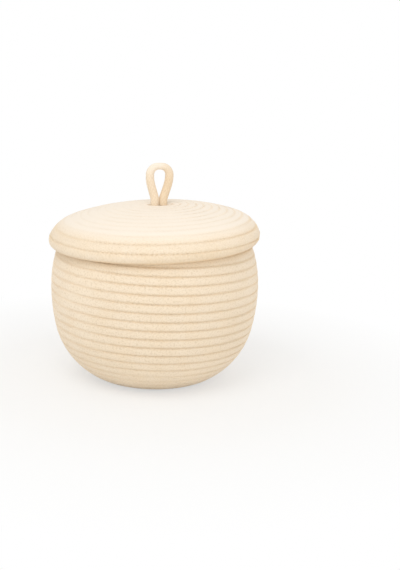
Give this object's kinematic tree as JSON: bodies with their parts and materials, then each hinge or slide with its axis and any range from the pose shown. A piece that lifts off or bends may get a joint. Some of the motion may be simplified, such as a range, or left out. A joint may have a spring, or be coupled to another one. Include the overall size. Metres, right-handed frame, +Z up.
{
  "type": "coiled rope basket with lid",
  "caption": "Round coiled cotton rope basket for knitting yarn, with a low domed lift-off lid that overhangs the rim and is lifted by a rope loop.",
  "frame": {"origin": "on the ground under the centre of the basket's base, midway between its sides in X and Y", "axes": "+Z up out of the basket, -Y towards the front as pictured, +X to the right seen from the front"},
  "size_m": [0.1963, 0.1964, 0.2048],
  "materials": {
    "natural_cotton_rope": "matt cream cotton rope, sewn in rows",
    "lid_cotton_rope": "matt pale cream cotton rope, sewn in rows"
  },
  "bodies": {
    "basket": {"basket_rope": "natural_cotton_rope"},
    "lid": {"lid_rope": "lid_cotton_rope", "loop_handle": "lid_cotton_rope"}
  },
  "joints": [
    {"name": "lid_lift", "type": "slide", "parent": "basket", "child": "lid", "axis": [0, 0, 1], "range_m": [0, 0.15]}
  ]
}
